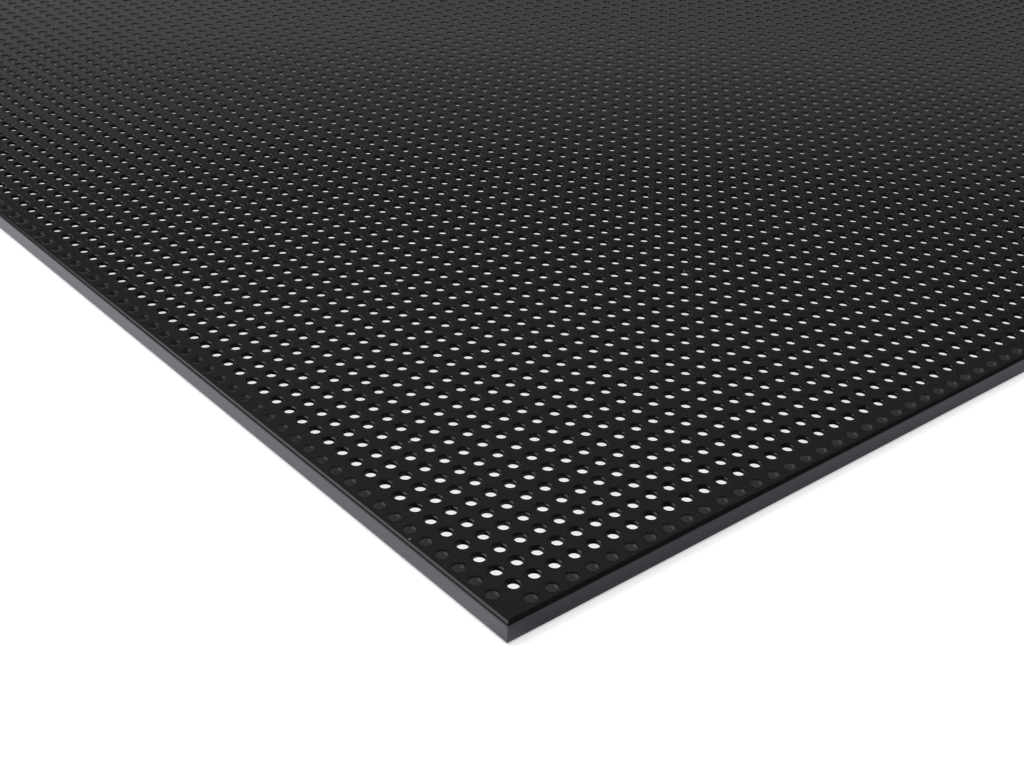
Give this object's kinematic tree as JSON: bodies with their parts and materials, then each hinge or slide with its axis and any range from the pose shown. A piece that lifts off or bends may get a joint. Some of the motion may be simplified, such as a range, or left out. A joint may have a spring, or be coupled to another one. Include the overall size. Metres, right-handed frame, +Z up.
{
  "type": "perforated metal sheet",
  "caption": "Square sheet of black-coated steel with small round holes in straight rows, its edges folded down and returned underneath.",
  "frame": {"origin": "centre of the footprint, on the floor that the folded edges rest on", "axes": "+Z up through the perforated face, +X and +Y along the straight rows of holes"},
  "size_m": [0.401, 0.401, 0.005],
  "materials": {
    "black_coat": "semi-matt black powder coat"
  },
  "bodies": {
    "root": {"perforated_sheet": "black_coat"}
  },
  "joints": []
}
